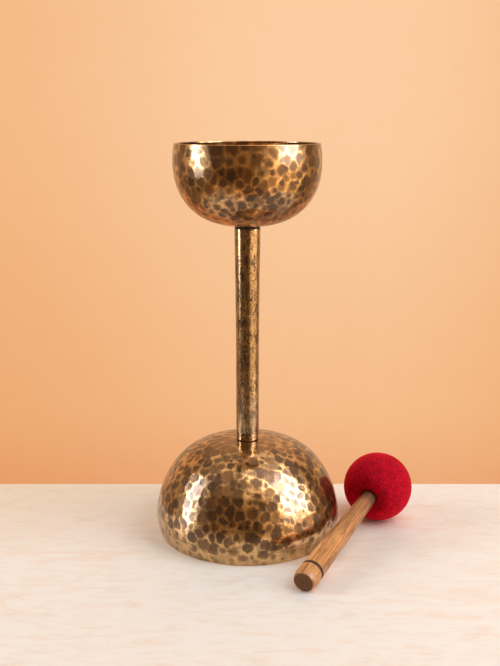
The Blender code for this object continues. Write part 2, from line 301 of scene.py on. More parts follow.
def seededNoise(tree, given, scale, detail):
    values = {"W": given["Seed"], "Scale": given[scale], "Detail": detail}
    return addNode(tree, "ShaderNodeTexNoise", values, noise_dimensions="4D").outputs["Fac"]


def pressInward(tree, given, depth):
    # Moves each point in along its normal by the depth in millimetres, then closes the tree
    normal = addNode(tree, "GeometryNodeInputNormal").outputs[0]
    values = {0: normal, "Scale": times(tree, depth, -mm)}
    shift = addNode(tree, "ShaderNodeVectorMath", values, operation="SCALE").outputs[0]
    moved = addNode(tree, "GeometryNodeSetPosition", {"Geometry": given["Geometry"], "Offset": shift})
    real = addNode(tree, "GeometryNodeRealizeInstances", {"Geometry": moved.outputs[0]})
    values = {"Geometry": real.outputs[0], "Material": given["Finish"]}
    addNode(tree, "NodeGroupOutput", {0: addNode(tree, "GeometryNodeSetMaterial", values).outputs[0]})


def runTree(piece, tree, values):
    # Runs the tree on the piece and keeps the result as its plain mesh
    step = piece.modifiers.new(tree.name, "NODES")
    step.node_group = tree
    for socket in tree.interface.items_tree:
        if socket.item_type == "SOCKET" and socket.in_out == "INPUT" and socket.name in values:
            step[socket.identifier] = values[socket.name]
    bpy.context.view_layer.update()
    graph = bpy.context.evaluated_depsgraph_get()
    worked = piece.evaluated_get(graph)
    mesh = bpy.data.meshes.new_from_object(worked, preserve_all_data_layers=True, depsgraph=graph)
    old = piece.data
    piece.modifiers.clear()
    piece.data = mesh
    mesh.name = piece.name
    bpy.data.meshes.remove(old)


# Finishes

bronzeColours = {
    "darkPatina": srgb(38, 26, 17), "brownPatina": srgb(96, 67, 43),
    "deepGold": srgb(176, 131, 82), "brightGold": srgb(230, 187, 128),
}


def hammeredBronze(name, bowl):
    # Dark patina left in the hammer marks, and worn to gold on the ridges between them
    look, tree, shader = newFinish(name)
    place = objectPlace(tree)
    inside, tone = stored(tree, "markInside"), stored(tree, "markTone")
    rim, fade = stored(tree, "rimDistance"), stored(tree, "markFade")
    fine = cloud(tree, place, 750, 3.0, 0.65)
    middle = cloud(tree, place, 210, 3.0, 0.6)
    patches = cloud(tree, place, 38, 2.0, 0.5)
    smoke = cloud(tree, place, 85, 3.0, 0.6, 0.4)
    grain = cloud(tree, place, 2400, 2.0, 0.6)
    specks = cloud(tree, place, 1300, 2.0, 0.7)
    clouds = (fine, middle, patches)
    fineSway, middleSway, patchSway = (less(tree, value, 0.5) for value in clouds)
    darkPatina, brownPatina, deepGold, brightGold = bronzeColours.values()

    # How wide the worn ridge is here: wide in gold patches, gone in dark ones
    width = scaled(tree, patchSway, bowl["patchiness"], bowl["ridgeWidth"])
    ragged = scaled(tree, fineSway, 2.2, scaled(tree, middleSway, 7.0, inside))
    spot = ramp(tree, less(tree, ragged, width), -bowl["softness"], bowl["softness"] * 1.2)
    spot = times(tree, spot, ramp(tree, tone, 0.0, 0.7, 0.45, 1.0))
    spot = times(tree, spot, ramp(tree, smoke, 0.3, 0.5, 0.7, 1.0))

    # Small marks of other sizes among them, and smoky tarnish over everything
    small = cells(tree, place, 135)
    smallTone = addNode(tree, "ShaderNodeSeparateColor", {0: small["Color"]}).outputs[0]
    smallReach = scaled(tree, middleSway, 0.5, times(tree, smallTone, 0.46))
    smallSpot = ramp(tree, less(tree, small["Distance"], smallReach), 0.06, -0.1, 0.0, 0.85)
    smallSpot = times(tree, smallSpot, ramp(tree, smallTone, 0.45, 0.75))
    haze = ramp(tree, scaled(tree, fine, 0.4, smoke), 0.6, 0.86, 0.0, 0.7)
    spot = calc(tree, "MAXIMUM", calc(tree, "MAXIMUM", spot, smallSpot), haze)
    spot = scaled(tree, fineSway, 0.55, spot, clamp=True)
    shown = scaled(tree, less(tree, spot, 0.28), fade, 0.28)
    worn = ramp(tree, rim, 0.6, 1.6, 1.0, 0.0)       # the lip is always rubbed bright
    gold = calc(tree, "MAXIMUM", less(tree, 1.0, shown), worn)
    gold = scaled(tree, ramp(tree, specks, 0.56, 0.7), 0.15, gold, clamp=True)

    speckle = scaled(tree, middle, 0.6, scaled(tree, fine, 1.1, times(tree, tone, 0.5)))
    dark = tinted(tree, darkPatina, brownPatina, speckle, 0.9, 1.4)
    crest = scaled(tree, inside, -0.16, scaled(tree, patches, 0.7, fine))
    if bowl["bandLine"]:      # the gold is paler towards this bowl's rim
        crest = scaled(tree, ramp(tree, rim, 45.0, 12.0), 0.3, crest)
    bright = tinted(tree, deepGold, brightGold, crest, 0.6, 1.15)
    colour = blendColour(tree, gold, dark, bright)
    pits = scaled(tree, middle, 0.22, cells(tree, place, 330)["Distance"])
    colour = tinted(tree, colour, darkPatina, pits, 0.25, 0.15, 0.65)
    if bowl["bandLine"]:      # a faint dark line runs round above the rim
        off = less(tree, scaled(tree, patches, 3.0, rim), bowl["bandLine"])
        line = ramp(tree, calc(tree, "ABSOLUTE", off), 0.9, 0.2)
        line = times(tree, line, ramp(tree, smoke, 0.35, 0.6, 0.1, 0.6))
        colour = blendColour(tree, line, colour, brownPatina)

    rough = scaled(tree, fineSway, 0.22, scaled(tree, gold, -0.06, 0.25))
    bump = relief(tree, gold, 0.22, 0.00006, relief(tree, grain, 0.1, 0.0001))
    dress(shader, tree, Base_Color=colour, Metallic=scaled(tree, gold, 0.2, 0.8), Roughness=rough,
          Normal=bump, Coat_Weight=0.45, Coat_Roughness=0.14, Coat_IOR=1.5)
    return look


def stemBronze():
    # Drawn tube with a streaky patina
    look, tree, shader = newFinish("streakedBronze")
    place = objectPlace(tree)
    streaks = cloud(tree, stretched(tree, place, (1.0, 1.0, 0.3)), 900, 3.0, 0.7)
    broad = cloud(tree, stretched(tree, place, (1.0, 1.0, 0.4)), 210, 3.0, 0.6)
    clouds = cloud(tree, place, 45, 2.0, 0.5)
    grain = cloud(tree, place, 850, 3.0, 0.7)
    bright = scaled(tree, broad, 0.8, scaled(tree, grain, 1.1, times(tree, streaks, 0.5)))
    bright = times(tree, ramp(tree, bright, 0.95, 1.38), ramp(tree, clouds, 0.35, 0.6, 0.65, 1.0))
    colour = blendColour(tree, bright, srgb(46, 31, 20), srgb(222, 184, 134))
    pits = scaled(tree, grain, 0.2, cells(tree, stretched(tree, place, (1.0, 1.0, 0.7)), 340)["Distance"])
    colour = tinted(tree, colour, srgb(30, 19, 11), pits, 0.28, 0.18, 0.8)
    rough = scaled(tree, less(tree, grain, 0.5), 0.32, 0.17)
    dress(shader, tree, Base_Color=colour, Metallic=scaled(tree, bright, 0.15, 0.85), Roughness=rough,
          Normal=relief(tree, grain, 0.35, 0.0001), Coat_Weight=0.4, Coat_Roughness=0.2, Coat_IOR=1.5)
    return look


def turnedBrass():
    look, tree, shader = newFinish("turnedBrass")
    place = objectPlace(tree)
    tarnish = cloud(tree, place, 120, 3.0, 0.6)
    scratches = cloud(tree, stretched(tree, place, (0.25, 0.25, 3.0)), 1600, 2.0, 0.6)
    colour = tinted(tree, srgb(212, 170, 96), srgb(146, 104, 56), tarnish, 0.38, 0.68)
    dress(shader, tree, Base_Color=colour, Metallic=1.0, Roughness=scaled(tree, scratches, 0.2, 0.2),
          Normal=relief(tree, scratches, 0.12, 0.00008))
    return look


def platedSteel():
    look, tree, shader = newFinish("zincPlate")
    place = objectPlace(tree)
    dull = cloud(tree, place, 300, 3.0, 0.6)
    colour = tinted(tree, srgb(196, 197, 194), srgb(140, 139, 134), dull, 0.35, 0.7)
    colour = blendColour(tree, 0.06, colour, cells(tree, place, 420)["Color"], "OVERLAY")
    dress(shader, tree, Base_Color=colour, Metallic=1.0, Roughness=scaled(tree, dull, 0.3, 0.22),
          Normal=relief(tree, dull, 0.1, 0.0001))
    return look


def darkLeather():
    look, tree, shader = newFinish("darkLeather")
    place = objectPlace(tree)
    fibre = cloud(tree, stretched(tree, place, (1, 1, 4)), 900, 4.0, 0.7)
    colour = blendColour(tree, fibre, srgb(38, 26, 18), srgb(82, 54, 34))
    dress(shader, tree, Base_Color=colour, Roughness=scaled(tree, fibre, 0.25, 0.55),
          Normal=relief(tree, cells(tree, place, 1500)["Distance"], 0.5, 0.0002))
    return look


def oiledWood(groove):
    # Turned handle: long grain, dark end grain on the knob's face, a burnt groove, a dark end at the ball
    look, tree, shader = newFinish("oiledWood")
    point = stored(tree, "turnedPoint", "Vector")
    height = addNode(tree, "ShaderNodeSeparateXYZ", {0: point}).outputs[2]
    along = times(tree, height, -1 / mm)       # millimetres from the ball's centre
    across = addNode(tree, "ShaderNodeVectorMath", {0: point, 1: (1, 1, 0)}, operation="MULTIPLY").outputs[0]
    radius = addNode(tree, "ShaderNodeVectorMath", {0: across}, operation="LENGTH").outputs[1]
    radius = times(tree, radius, 1 / mm)
    grain = cloud(tree, stretched(tree, point, (1, 1, 0.02)), 760, 4.0, 0.62)
    pores = cloud(tree, stretched(tree, point, (1, 1, 0.05)), 2600, 2.0, 0.7)
    bands = cloud(tree, stretched(tree, point, (1, 0.45, 0.035)), 190, 3.0, 0.5, 0.6)
    slow = cloud(tree, stretched(tree, point, (1, 1, 0.3)), 60, 2.0, 0.5)
    handled = cloud(tree, stretched(tree, point, (1, 1, 0.12), shift=(0, 0, 0.31)), 200, 4.0, 0.65, 0.4)
    colour = tinted(tree, srgb(242, 168, 96), srgb(182, 114, 60), grain, 0.3, 0.72)
    colour = tinted(tree, colour, srgb(128, 84, 50), bands, 0.5, 0.72, 0.6)
    colour = tinted(tree, colour, srgb(112, 72, 44), pores, 0.56, 0.7, 0.5)
    colour = tinted(tree, colour, srgb(236, 178, 116), slow, 0.4, 0.7, 0.3)
    colour = tinted(tree, colour, srgb(100, 62, 36), scaled(tree, pores, 0.2, handled), 0.54, 0.74, 0.65)

    reach, faceRadius, ballSide = mallet["reach"], mallet["faceRadius"], mallet["ball"]
    face = ramp(tree, radius, faceRadius + 1.2, faceRadius - 0.3)
    face = times(tree, face, ramp(tree, along, reach - 2.2, reach - 0.4))
    rings = calc(tree, "SINE", scaled(tree, bands, 14.0, times(tree, radius, 3.4)))
    endGrain = tinted(tree, srgb(88, 52, 26), srgb(120, 76, 40), rings, -1.0, 1.0)
    colour = blendColour(tree, face, colour, endGrain)
    burnt = ramp(tree, calc(tree, "ABSOLUTE", less(tree, along, groove)), 2.1, 1.6)
    colour = blendColour(tree, times(tree, burnt, 0.9), colour, srgb(44, 26, 16))
    ragged = scaled(tree, grain, 8.0, along)
    colour = tinted(tree, colour, srgb(62, 34, 22), ragged, ballSide + 14.0, ballSide + 3.0, 0.75)
    swayed = scaled(tree, slow, 60.0, along)       # greyer towards the ball
    colour = tinted(tree, colour, srgb(120, 82, 58), swayed, 150.0, 60.0, 0.5)
    bare = calc(tree, "MAXIMUM", face, burnt)       # the oil shines least on end grain and in the cut
    rough = scaled(tree, bare, 0.35, scaled(tree, pores, 0.24, 0.3))
    bump = relief(tree, pores, 0.2, 0.0001, relief(tree, grain, 0.22, 0.0002))
    dress(shader, tree, Base_Color=colour, Roughness=rough, Normal=bump, Specular_IOR_Level=0.3,
          Coat_Weight=scaled(tree, bare, -0.25, 0.25), Coat_Roughness=0.2)
    return look


def paleWood():
    look, tree, shader = newFinish("paleWood")
    place = objectPlace(tree)
    grain = cloud(tree, stretched(tree, place, (1, 0.15, 0.6)), 800, 4.0, 0.6)
    colour = blendColour(tree, grain, srgb(214, 176, 122), srgb(170, 126, 76))
    dress(shader, tree, Base_Color=colour, Roughness=0.7, Normal=relief(tree, grain, 0.3, 0.0002))
    return look


def redFelt():
    # Dense wool felt: fine speckle, a little fuzz that catches the light
    look, tree, shader = newFinish("redFelt")
    place = objectPlace(tree)
    speck = cloud(tree, place, 1000, 3.0, 0.7)
    clumps = cloud(tree, place, 150, 3.0, 0.6)
    combed = stretched(tree, place, (1.0, 0.25, 0.6), turn=(0.5, 0.3, 0.9))
    strands = cloud(tree, combed, 2100, 2.0, 0.7, 1.2)
    colour = tinted(tree, srgb(66, 0, 5), srgb(254, 10, 46), scaled(tree, strands, 0.6, speck), 0.58, 0.98)
    colour = tinted(tree, colour, srgb(120, 0, 14), clumps, 0.35, 0.75, 0.35)
    bump = relief(tree, strands, 0.4, 0.0002, relief(tree, speck, 0.7, 0.0005))
    dress(shader, tree, Base_Color=colour, Roughness=0.95, Normal=bump, Specular_IOR_Level=0.1,
          Sheen_Weight=1.0, Sheen_Roughness=0.4, Sheen_Tint=srgb(255, 48, 64))
    return look


finishes = {      # by material slot
    "turned_brass": turnedBrass(), "plated_steel": platedSteel(), "leather": darkLeather(),
    "dark_bronze": stemBronze(),
}
print("finishes ready")


# The two hammered bowls

soundBowl = {
    "radius": 69.15, "belt": 16.6, "height": 76.5, "polePower": 2.17, "sidePower": 2.564,
    "rimRadius": 67.4, "wall": 2.4, "lip": 0.6, "hole": 4.4, "base": 302.1, "upright": True,
    "spacing": 1.0, "innerSpacing": 1.9, "steps": 430, "seed": 11,
    "markSizes": ((0, 13.0), (14, 12.0), (24, 10.0), (34, 9.4), (62, 9.0), (90, 8.5)),
    "markFade": ((0, 0.75), (20, 0.85), (34, 1.0), (200, 1.0)),
    "markReach": ((0, 1.0), (14, 1.0), (24, 0.86), (40, 0.9), (60, 0.92), (200, 0.92)),
    "markDepth": 0.17, "markCurve": 0.006,
    "ridgeWidth": 0.6, "patchiness": 7.5, "softness": 1.5, "bandLine": 0.0,
}
footBowl = {
    "radius": 90.2, "belt": 22.0, "height": 93.3, "polePower": 1.505, "sidePower": 3.307,
    "rimRadius": 86.5, "wall": 3.0, "lip": 0.8, "hole": 4.4, "base": 0.0, "upright": False,
    "spacing": 1.15, "innerSpacing": 2.6, "steps": 490, "seed": 23,
    "markSizes": ((0, 13.0), (30, 11.5), (60, 10.5), (110, 10.0), (150, 9.0)),
    "markFade": ((0, 0.5), (9, 0.6), (18, 0.85), (28, 1.0), (108, 1.0), (124, 0.35), (150, 0.12)),
    "markReach": ((0, 0.3), (8, 0.42), (17, 0.66), (30, 0.84), (50, 0.97), (200, 1.0)),
    "markDepth": 0.2, "markCurve": 0.008,
    "ridgeWidth": 0.4, "patchiness": 7.8, "softness": 0.95, "bandLine": 17.5,
}
hammering = {      # the same for both bowls
    "tries": 26000, "crowding": 0.76, "reach": (0.35, 0.8), "unevenness": 0.85, "batch": 4000,
    "sways": ((1.9, 0.13), (0.8, 0.42)),      # how far the marks' edges wander, and how finely
    "insideFade": 0.7, "insidePress": 0.5, "rimQuiet": 6.0, "poleQuiet": 13.0, "poleFade": 6.0,
}


def bowlOutline(bowl):
    # One closed loop through the wall: outer side from pole to rim, the rounded lip, the inner side back up.
    # Heights are from the rim. Beside the loop go the distance from the rim and which rings are outside.
    start = math.asin((bowl["hole"] / bowl["radius"]) ** (bowl["sidePower"] / 2))
    turn = start + (math.pi / 2 - start) * np.linspace(0, 1, 900) ** 1.6
    radius = bowl["radius"] * np.sin(turn) ** (2 / bowl["sidePower"])
    share = np.clip(np.cos(turn), 0, 1) ** (2 / bowl["polePower"])
    rise = bowl["belt"] + (bowl["height"] - bowl["belt"]) * share
    low = np.linspace(bowl["belt"], bowl["lip"], 60)[1:]
    drawn = bowl["radius"] - (bowl["radius"] - bowl["rimRadius"]) * (1 - low / bowl["belt"]) ** 2
    dense = np.column_stack([np.concatenate([radius, drawn]), np.concatenate([rise, low])])
    outer = resample(dense, bowl["spacing"])

    slope = np.gradient(dense, axis=0)
    slope /= np.hypot(*slope.T)[:, None]
    inner = dense + bowl["wall"] * np.column_stack([slope[:, 1], -slope[:, 0]])
    inner = inner[inner[:, 0] > bowl["hole"] + 0.2]
    inner = resample(np.vstack([[bowl["hole"], inner[0, 1]], inner]), bowl["innerSpacing"])

    lip = bowl["lip"]
    lipOut = corner((outer[-1, 0] - lip, lip), lip, 0, -90, 5)[1:]
    lipIn = corner((inner[-1, 0] + lip, lip), lip, -90, -180, 4)[:-1]
    loop = np.vstack([outer, lipOut, lipIn, inner[::-1]])
    outside = np.arange(len(loop)) < len(outer) + 3
    along = lengthsAlong(loop)
    return loop, np.abs(along - along[len(outer) + 4]), outside


def throwMarks(bowl, loop, fromRim, outside):
    # Hammer blows spread over the outer side, no two closer than the mark's size there
    chance = np.random.default_rng(bowl["seed"])
    rows = np.flatnonzero(outside)
    weight = loop[rows, 0] / loop[rows, 0].sum()
    sizeAt, sizes = zip(*bowl["markSizes"])
    tries, crowding = hammering["tries"], hammering["crowding"]
    kept, widths, distances = np.zeros((0, 3)), np.zeros(0), np.zeros(0)
    for row, angle in zip(chance.choice(rows, tries, p=weight), chance.random(tries) * math.tau):
        radius, height = loop[row]
        spot = np.array((radius * math.cos(angle), radius * math.sin(angle), height))
        width = np.interp(fromRim[row], sizeAt, sizes) * crowding
        if (np.linalg.norm(kept - spot, axis=1) > (widths + width) / 2).all():
            kept = np.vstack([kept, spot])
            widths = np.append(widths, width)
            distances = np.append(distances, fromRim[row])
    radii = widths / crowding * chance.uniform(*hammering["reach"], len(kept))
    radii *= np.interp(distances, *zip(*bowl["markReach"]))
    return kept, chance.normal(0.0, hammering["unevenness"], len(kept)), radii, chance.random(len(kept))


def nearestMarks(points, centres, weights):
    # How far the nearest and the second nearest blow are from every point, and which is the nearest
    nearest, second = np.zeros(len(points)), np.zeros(len(points))
    owner = np.zeros(len(points), int)
    for first in range(0, len(points), hammering["batch"]):
        part = slice(first, first + hammering["batch"])
        gaps = np.linalg.norm(points[part, None, :] - centres[None, :, :], axis=2) - weights[None, :]
        ranked = np.argpartition(gaps, 1, axis=1)[:, :2]
        two = np.take_along_axis(gaps, ranked, axis=1)
        nearest[part], second[part], owner[part] = two[:, 0], two[:, 1], ranked[:, 0]
    return nearest, second, owner


def hammerTree():
    # Presses each point in by its place in the hammer mark, and lets the whole wall wander a little
    tree, given = newTree("hammerMarks", {
        "Mark depth": 0.2, "Mark curve": 0.006, "Wander": 0.12, "Wander scale": 32.0, "Seed": 1,
    })
    distance = pointValue(tree, "markDistance")
    hollow = times(tree, times(tree, distance, distance), given["Mark curve"])
    dent = calc(tree, "MAXIMUM", less(tree, given["Mark depth"], hollow), 0.0)
    drift = times(tree, seededNoise(tree, given, "Wander scale", 1.0), given["Wander"])
    press = pointValue(tree, "markPress")
    pressInward(tree, given, times(tree, calc(tree, "ADD", dent, drift), press))
    return tree


def makeBowl(name, bowl, tree, node):
    loop, fromRim, outside = bowlOutline(bowl)
    centres, weights, radii, tones = throwMarks(bowl, loop, fromRim, outside)
    outline, order = loop.copy(), np.arange(len(loop))
    if bowl["upright"]:
        outline[:, 1] = bowl["height"] - outline[:, 1]
        centres[:, 2] = bowl["height"] - centres[:, 2]
        outline, order = outline[::-1], order[::-1]
    mesh = turned(name, outline, bowl["steps"], closed=True)

    # The blows are sought from a slightly wandering copy of the points, so that no mark's edge is straight
    points = meshPoints(mesh) / mm
    swayed = points.copy()
    noise.seed_set(bowl["seed"])
    for size, pace in hammering["sways"]:
        swayed += size * np.array([noise.noise_vector(Vector(p) * pace) for p in points])
    nearest, second, owner = nearestMarks(swayed, centres, weights)
    keepValues(mesh, "markInside", np.minimum((second - nearest) / 2, radii[owner] - nearest))
    keepValues(mesh, "markDistance", np.maximum(nearest, 0))
    keepValues(mesh, "markTone", tones[owner])

    # The same all the way round: the marks fade and flatten towards the rim, the pole and the inner side
    fade = np.interp(fromRim, *zip(*bowl["markFade"])) * np.where(outside, 1.0, hammering["insideFade"])
    press = np.clip(fromRim / hammering["rimQuiet"], 0, 1) * np.where(outside, 1.0, hammering["insidePress"])
    press *= np.clip((loop[:, 0] - hammering["poleQuiet"]) / hammering["poleFade"], 0, 1)
    ringOf = np.repeat(order, bowl["steps"])
    for label, values in (("rimDistance", fromRim), ("markFade", fade), ("markPress", press)):
        keepValues(mesh, label, values[ringOf])
    mesh.shade_smooth()
    piece = newPiece(name, onBowlAxis(mesh, bowl["base"]))
    runTree(piece, tree, {
        "Mark depth": bowl["markDepth"], "Mark curve": bowl["markCurve"], "Seed": bowl["seed"],
        "Finish": hammeredBronze(name + "Bronze", bowl),
    })
    shade(piece.data, 60)
    triangles = sum(len(p.vertices) - 2 for p in piece.data.polygons)
    print(name, len(centres), "hammer marks,", triangles, "triangles")
    finishPiece(piece, "bowl_stand", "hammered_bronze", node)


marks = hammerTree()
makeBowl("soundBowlShell", soundBowl, marks, "sound_bowl")
makeBowl("footBowlShell", footBowl, marks, "foot_bowl")


# Stem

stem = {
    "bottom": 99.9, "length": 200.4, "radius": 11.15, "wall": 1.5, "edge": 0.35, "innerEdge": 0.2,
    "flare": 1.25, "flareStart": 70.0, "flarePower": 1.8, "steps": 96, "unevenness": 0.07, "wearPace": 160,
}
collar = {
    "bottom": 93.6, "height": 6.0, "radius": 11.0, "topEdge": 0.4, "lowEdge": 1.1,
    "spigot": 9.35, "spigotLength": 16.0, "spigotEdge": 0.6, "bore": 4.4, "boreEdge": 0.3,
}


def stemRadius(height):
    share = max(height - stem["flareStart"], 0) / (stem["length"] - stem["flareStart"])
    return stem["radius"] + stem["flare"] * share ** stem["flarePower"]


def makeTube():
    length, edge, small = stem["length"], stem["edge"], stem["innerEdge"]
    low, high = stem["radius"], stemRadius(length)
    boreLow, boreHigh = low - stem["wall"] + small, high - stem["wall"] + small
    outline = corner((high - edge, length - edge), edge, 90, 0, 4)
    outline += [(stemRadius(z), z) for z in np.linspace(length - edge, edge, 130)[1:-1]]
    outline += corner((low - edge, edge), edge, 0, -90, 4)
    outline += corner((boreLow, small), small, -90, -180, 2)
    outline += [(stemRadius(z) - stem["wall"], z) for z in np.linspace(2, length - 2, 24)]
    outline += corner((boreHigh, length - small), small, 180, 90, 2)
    mesh = turned("stemTubeShell", outline, stem["steps"], closed=True)
    wearUnevenly(mesh, stem["unevenness"], stem["wearPace"], flatten=0.35)
    placeTurned("stemTubeShell", shade(mesh, 40), stem["bottom"], "dark_bronze", "stem_tube")


def makeCollar():
    wide, tall, spigot, bore = (collar[key] for key in ("radius", "height", "spigot", "bore"))
    high, low, edge, small = (collar[key] for key in ("topEdge", "lowEdge", "spigotEdge", "boreEdge"))
    full = tall + collar["spigotLength"]
    outline = [(spigot - edge, full), (spigot, full - edge), (spigot, tall + small), (spigot + small, tall)]
    outline += corner((wide - high, tall - high), high, 90, 0, 4)
    outline += corner((wide - low, low), low, 0, -90, 8)
    outline += [(bore + small, 0), (bore, small), (bore, full - small), (bore + small, full)]
    mesh = turned("stemCollarRing", outline, stem["steps"], closed=True)
    placeTurned("stemCollarRing", shade(mesh, 40), collar["bottom"], "dark_bronze", "stem_collar")


makeTube()
makeCollar()
print("stem ready")


# Clamp

clamp = {
    "bore": 4.4, "boreEdge": 0.3, "steps": 72, "ripplePace": 420, "rippleWithin": 0.8,
    "flats": 13.0, "nutHeight": 6.5, "face": 6.24, "chamfer": math.radians(30),
    "nutBore": 4.3, "nutEdge": 0.5,
    "capNut": 309.1, "capHeight": 15.0, "capRadius": 6.2, "boreDepth": 11.5, "hexNut": 76.3,
}
rod = {
    "bottom": 71.0, "top": 319.6, "radius": 3.98, "bevel": 0.9, "steps": 32,
    "pitch": 1.25, "threadDepth": 0.62, "threadLength": 26.0,
}
clampRings = {
    "seatRing": {"height": 300.6, "radius": 12.0, "thick": 1.2, "edge": 0.35, "ripple": 0.2,
        "slot": "leather", "node": "seat_leather"},
    "innerRing": {"height": 304.8, "radius": 9.5, "thick": 1.5, "edge": 0.4, "ripple": 0.2,
        "slot": "leather", "node": "inner_leather"},
    "footRing": {"height": 87.9, "radius": 15.0, "thick": 2.0, "edge": 0.5, "ripple": 0.25,
        "slot": "leather", "node": "foot_gasket"},
    "wideWasher": {"height": 85.6, "radius": 14.0, "thick": 2.0, "edge": 0.3, "ripple": 0.0,
        "slot": "plated_steel", "node": "wide_washer"},
}
cupWasher = {"height": 306.6, "thick": 2.2, "top": 7.3, "topEdge": 0.5, "rim": 8.6, "rimEdge": 0.4}
springWasher = {"height": 83.1, "radius": 7.2, "thick": 2.2, "edge": 0.3, "gap": 1.6, "slant": 0.6}


def hexRadius(angles):
    # Distance from the axis to a hexagon's side, by angle
    sixth = math.pi / 3
    return clamp["flats"] / 2 / np.cos((angles + sixth / 2) % sixth - sixth / 2)


def nutMesh(name, dome):
    # A hexagon nut with its corners cut away at both faces, open or closed by a dome
    steps, tall, face, bore = clamp["steps"], clamp["nutHeight"], clamp["face"], clamp["nutBore"]
    hexagon = hexRadius(np.arange(steps) * (math.tau / steps)) - 0.05
    cut = (hexagon - face) * math.tan(clamp["chamfer"])
    if dome:
        foot, rise, wide = tall + 0.5, clamp["capHeight"] - tall - 0.5, clamp["capRadius"]
        turns = np.linspace(0, math.pi / 2, 15)[1:]
        rows = [(0, clamp["capHeight"])] + [(wide * math.sin(t), foot + rise * math.cos(t)) for t in turns]
        rows += [(wide - 0.1, tall + 0.15), (face - 0.02, tall)]
    else:
        rows = [(bore + clamp["nutEdge"], tall), (face, tall)]
    side = [(face + (hexagon - face) * share, cut * share) for share in (0.5, 1.0)]
    side.append((hexagon + 0.05, cut + 0.08))
    rows += [(radius, tall - height) for radius, height in side] + side[::-1]
    rows += [(face, 0), (bore + clamp["nutEdge"], 0), (bore, clamp["nutEdge"])]
    if dome:
        rows += [(bore, clamp["boreDepth"]), (0, clamp["boreDepth"])]
    else:
        rows.append((bore, tall - clamp["nutEdge"]))
    return shade(turned(name, rows, steps, closed=not dome), 24)


def rodMesh(name):
    # Threaded at both ends, plain between
    radius, bevel, reach, pitch = rod["radius"], rod["bevel"], rod["threadLength"], rod["pitch"]
    length, fine = rod["top"] - rod["bottom"], rod["pitch"] / 8
    heights = np.concatenate([
        np.arange(bevel, reach, fine),
        np.linspace(reach + 1, length - reach - 1, 12),
        np.arange(length - reach, length - bevel, fine),
    ])
    angles = np.arange(rod["steps"]) / rod["steps"]
    rows = [(0, length), (radius - bevel, length)]
    for z in heights[::-1]:
        cut = np.clip((reach - min(z, length - z)) / 1.5, 0, 1)       # the thread runs out over 1.5 mm
        groove = np.clip(1.25 - 2.5 * np.abs((z / pitch - angles) % 1.0 - 0.5), 0, 1)
        rows.append((radius - rod["threadDepth"] * cut * groove, z))
    rows += [(radius - bevel, 0), (0, 0)]
    return shade(turned(name, rows, rod["steps"]), 30)


def springMesh(name, ring):
    # A bar with rounded edges bent round to just short of a full turn
    outline = ringOutline(clamp["bore"], ring["radius"], ring["thick"], ring["edge"], 2)
    reach, count = math.asin(ring["gap"] / 2 / ring["radius"]), len(outline)
    turns = np.linspace(reach, math.tau - reach, 60)
    points, faces = [], []
    for t in turns:
        for r, z in outline:
            lean = ring["slant"] * (z / ring["thick"] - 0.5) / r
            turn = t + lean * abs(t - math.pi) / math.pi
            points.append((r * math.cos(turn) * mm, r * math.sin(turn) * mm, z * mm))
    for first in range(0, (len(turns) - 1) * count, count):
        for j in range(count):
            k = (j + 1) % count
            faces.append((first + j, first + k, first + count + k, first + count + j))
    faces.append(tuple(range(count))[::-1])
    faces.append(tuple(range(len(points) - count, len(points))))
    return shade(newMesh(name, points, faces))


def cupMesh(name, ring):
    bore, edge, thick = clamp["bore"], clamp["boreEdge"], ring["thick"]
    outline = corner((ring["top"], thick - ring["topEdge"]), ring["topEdge"], 90, 30, 3)
    outline += corner((ring["rim"], ring["rimEdge"]), ring["rimEdge"], 30, -90, 5)
    outline += [(bore + edge, 0), (bore, edge), (bore, thick - edge), (bore + edge, thick)]
    return shade(turned(name, outline, clamp["steps"], closed=True))


def ringMesh(name, ring):
    outline = ringOutline(clamp["bore"], ring["radius"], ring["thick"], ring["edge"])
    mesh = turned(name, outline, clamp["steps"], closed=True)
    wearUnevenly(mesh, ring["ripple"], clamp["ripplePace"], within=ring["radius"] * clamp["rippleWithin"])
    return shade(mesh)


for name, ring in clampRings.items():
    placeTurned(name, ringMesh(name, ring), ring["height"], ring["slot"], ring["node"])
cup = cupMesh("cupWasher", cupWasher)
placeTurned("cupWasher", cup, cupWasher["height"], "turned_brass", "cup_washer")
spring = springMesh("springWasher", springWasher)
placeTurned("springWasher", spring, springWasher["height"], "plated_steel", "split_washer")
placeTurned("capNut", nutMesh("capNut", True), clamp["capNut"], "turned_brass", "cap_nut")
placeTurned("hexNut", nutMesh("hexNut", False), clamp["hexNut"], "plated_steel", "hex_nut")
placeTurned("threadedRod", rodMesh("threadedRod"), rod["bottom"], "plated_steel", "tie_rod")
paintNode("stem_bush", finishes["turned_brass"])
print("clamp ready")


# Mallet

mallet = {      # lengths along the handle are from the ball's centre, and the knob's is from the butt
    "centre": (94.3, 47.632, 34.2), "turn": (-1.43608, 0.0, -0.48695),
    "ball": 34.5, "hole": 7.8, "room": 15.5, "lumps": 0.4, "steps": 190,
    "dimpleDepth": 13.5, "dimpleWidth": 13.5, "unevenness": 0.07, "wearPace": 260,
    "handleSteps": 96, "reach": 181.72, "end": 7.5, "butt": 10.8, "taperStart": 30.2,
    "tenon": 5.0, "tenonEnd": 6.7, "tenonEdge": 0.8, "shoulder": 15.3,
    "knob": 17.5, "knobRadius": 10.85, "faceRadius": 8.6, "rounding": 10.0, "dimple": 1.1,
    "grooveWidth": 3.6, "grooveDepth": 1.1,
}
malletTurn = Euler(mallet["turn"]).to_matrix().to_4x4()
malletPlace = Matrix.Translation(Vector(mallet["centre"]) * mm) @ malletTurn


